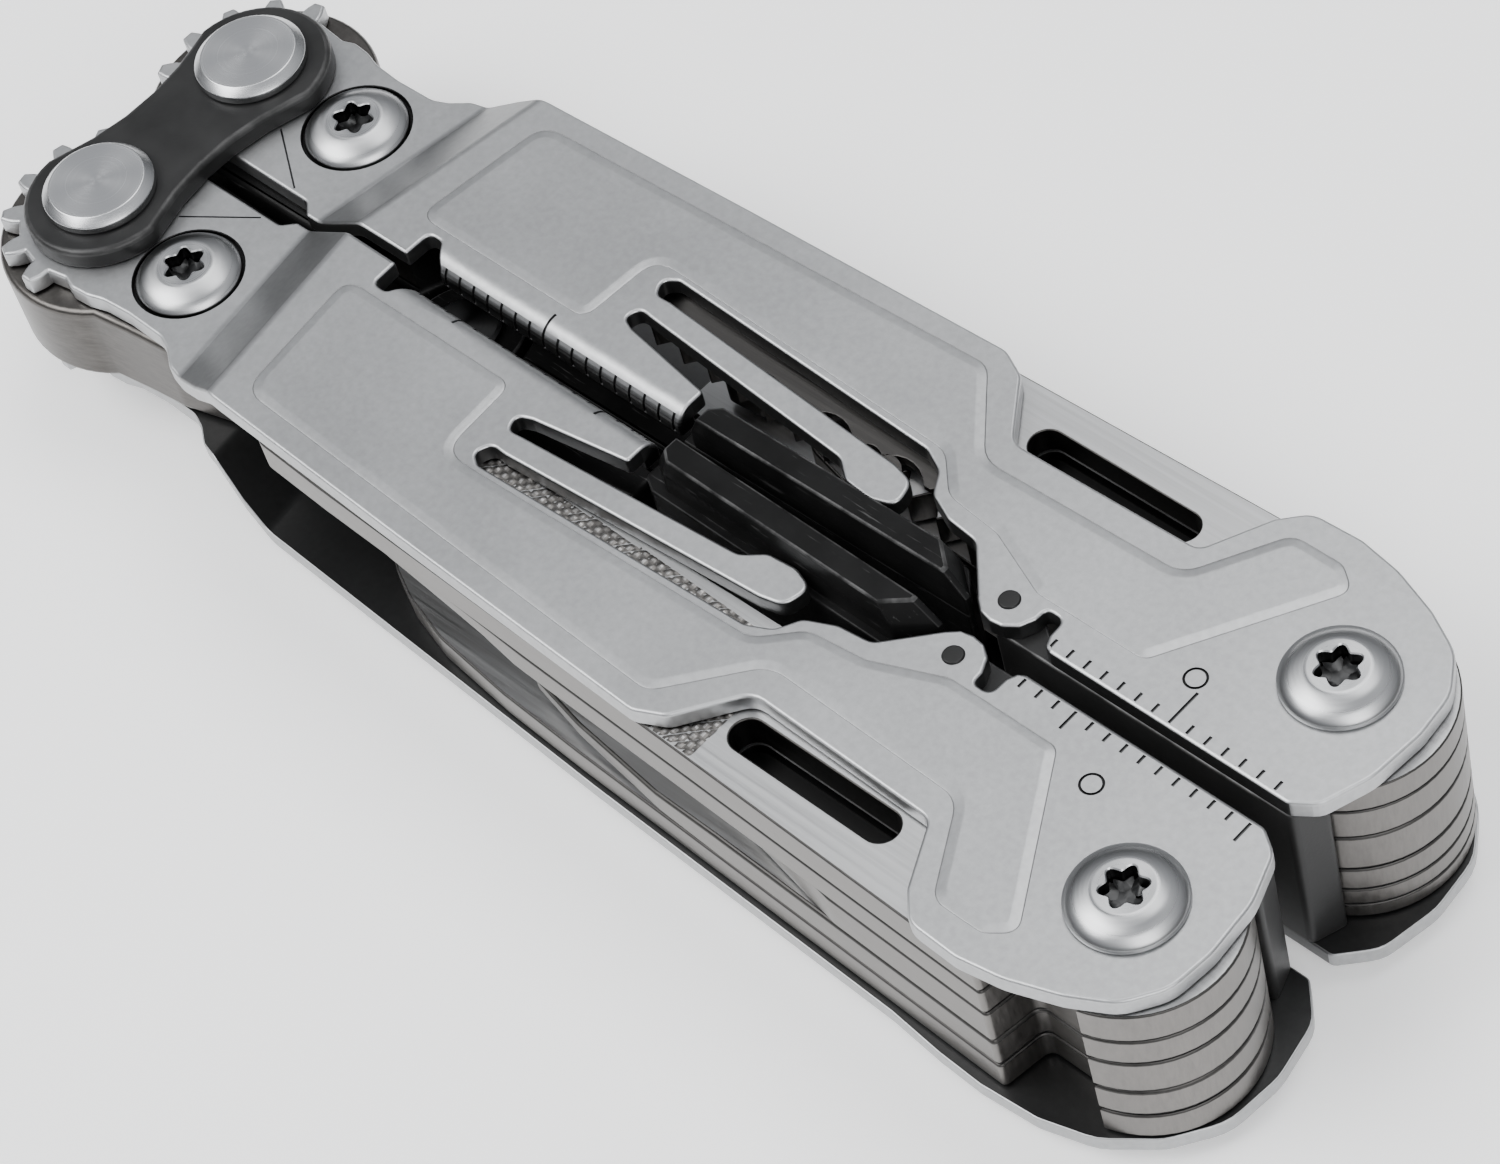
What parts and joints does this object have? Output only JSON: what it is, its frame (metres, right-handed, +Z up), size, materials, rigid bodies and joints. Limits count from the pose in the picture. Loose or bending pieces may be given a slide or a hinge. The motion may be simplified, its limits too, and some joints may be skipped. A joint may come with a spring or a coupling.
{
  "type": "folding pliers multi-tool",
  "caption": "Pocket multi-tool shown closed: geared folding pliers with two slotted steel handles, each holding a stack of pivoting blades and drivers.",
  "frame": {"origin": "centre of the closed tool on the plane it rests on", "axes": "+X along the handles from the geared end to the tool axles, +Y towards the upper handle, +Z up through the thickness"},
  "size_m": [0.0834, 0.0276, 0.0142],
  "materials": {
    "satin_steel": "bead-blasted satin",
    "turned_steel": "lathe-turned, polished",
    "tool_steel": "ground",
    "black_oxide": "black oxide, satin",
    "jaw_black": "black oxide with a bright ground tail"
  },
  "bodies": {
    "link": {"link_plate_top": "black_oxide", "link_plate_bottom": "black_oxide", "link_rivets_top": "turned_steel", "link_rivets_bottom": "turned_steel"},
    "upper_handle": {"upper_plate_top": "satin_steel", "upper_plate_bottom": "satin_steel", "upper_spine": "black_oxide", "upper_stop_rod": "black_oxide", "upper_tool_post": "turned_steel", "upper_tool_screw": "turned_steel", "upper_jaw_post": "turned_steel", "upper_jaw_screw": "turned_steel"},
    "lower_handle": {"lower_plate_top": "satin_steel", "lower_plate_bottom": "satin_steel", "lower_spine": "black_oxide", "lower_stop_rod": "black_oxide", "lower_tool_post": "turned_steel", "lower_tool_screw": "turned_steel", "lower_jaw_post": "turned_steel", "lower_jaw_screw": "turned_steel"},
    "upper_jaw": {"upper_jaw": "jaw_black", "upper_jaw_rivet": "turned_steel"},
    "lower_jaw": {"lower_jaw": "jaw_black", "lower_jaw_rivet": "turned_steel"},
    "knife_blade": {"knife_blade": "tool_steel"},
    "saw_blade": {"saw_blade": "tool_steel"},
    "can_opener": {"can_opener": "tool_steel"},
    "bottle_opener": {"bottle_opener": "tool_steel"},
    "medium_driver": {"medium_driver": "tool_steel"},
    "small_driver": {"small_driver": "tool_steel"},
    "file_blade": {"file_blade": "tool_steel"},
    "phillips_driver": {"phillips_driver": "tool_steel"},
    "large_driver": {"large_driver": "tool_steel"},
    "awl": {"awl": "tool_steel"},
    "hook_blade": {"hook_blade": "tool_steel"}
  },
  "joints": [
    {"name": "upper_handle_swing", "type": "hinge", "parent": "link", "child": "upper_handle", "pos_m": [-0.03545, 0.0054, 0.007], "axis": [0, 0, 1], "range_deg": [0, 170.34]},
    {"name": "lower_handle_swing", "type": "hinge", "parent": "link", "child": "lower_handle", "pos_m": [-0.03545, -0.0054, 0.007], "axis": [0, 0, 1], "range_deg": [-170.34, 0]},
    {"name": "upper_jaw_pivot", "type": "hinge", "parent": "upper_handle", "child": "upper_jaw", "pos_m": [-0.02835, 0.006, 0.007], "axis": [0, 0, 1], "range_deg": [-171.34, 0]},
    {"name": "lower_jaw_pivot", "type": "hinge", "parent": "lower_handle", "child": "lower_jaw", "pos_m": [-0.02835, -0.006, 0.007], "axis": [0, 0, 1], "range_deg": [0, 171.34]},
    {"name": "knife_blade_pivot", "type": "hinge", "parent": "upper_handle", "child": "knife_blade", "pos_m": [0.03605, 0.00715, 0.007], "axis": [0, 0, -1], "range_deg": [0, 178]},
    {"name": "saw_blade_pivot", "type": "hinge", "parent": "upper_handle", "child": "saw_blade", "pos_m": [0.03605, 0.00715, 0.007], "axis": [0, 0, -1], "range_deg": [0, 178]},
    {"name": "can_opener_pivot", "type": "hinge", "parent": "upper_handle", "child": "can_opener", "pos_m": [0.03605, 0.00715, 0.007], "axis": [0, 0, -1], "range_deg": [0, 178]},
    {"name": "bottle_opener_pivot", "type": "hinge", "parent": "upper_handle", "child": "bottle_opener", "pos_m": [0.03605, 0.00715, 0.007], "axis": [0, 0, -1], "range_deg": [0, 178]},
    {"name": "medium_driver_pivot", "type": "hinge", "parent": "upper_handle", "child": "medium_driver", "pos_m": [0.03605, 0.00715, 0.007], "axis": [0, 0, -1], "range_deg": [0, 178]},
    {"name": "small_driver_pivot", "type": "hinge", "parent": "upper_handle", "child": "small_driver", "pos_m": [0.03605, 0.00715, 0.007], "axis": [0, 0, -1], "range_deg": [0, 178]},
    {"name": "file_blade_pivot", "type": "hinge", "parent": "lower_handle", "child": "file_blade", "pos_m": [0.03605, -0.00715, 0.007], "axis": [0, 0, 1], "range_deg": [0, 178]},
    {"name": "phillips_driver_pivot", "type": "hinge", "parent": "lower_handle", "child": "phillips_driver", "pos_m": [0.03605, -0.00715, 0.007], "axis": [0, 0, 1], "range_deg": [0, 178]},
    {"name": "large_driver_pivot", "type": "hinge", "parent": "lower_handle", "child": "large_driver", "pos_m": [0.03605, -0.00715, 0.007], "axis": [0, 0, 1], "range_deg": [0, 178]},
    {"name": "awl_pivot", "type": "hinge", "parent": "lower_handle", "child": "awl", "pos_m": [0.03605, -0.00715, 0.007], "axis": [0, 0, 1], "range_deg": [0, 178]},
    {"name": "hook_blade_pivot", "type": "hinge", "parent": "lower_handle", "child": "hook_blade", "pos_m": [0.03605, -0.00715, 0.007], "axis": [0, 0, 1], "range_deg": [0, 178]}
  ],
  "couplings": [
    {"joint": "lower_handle_swing", "follows": "upper_handle_swing", "ratio": -1},
    {"joint": "upper_jaw_pivot", "follows": "upper_handle_swing", "ratio": -1.0047},
    {"joint": "lower_jaw_pivot", "follows": "upper_handle_swing", "ratio": 1.0047}
  ]
}
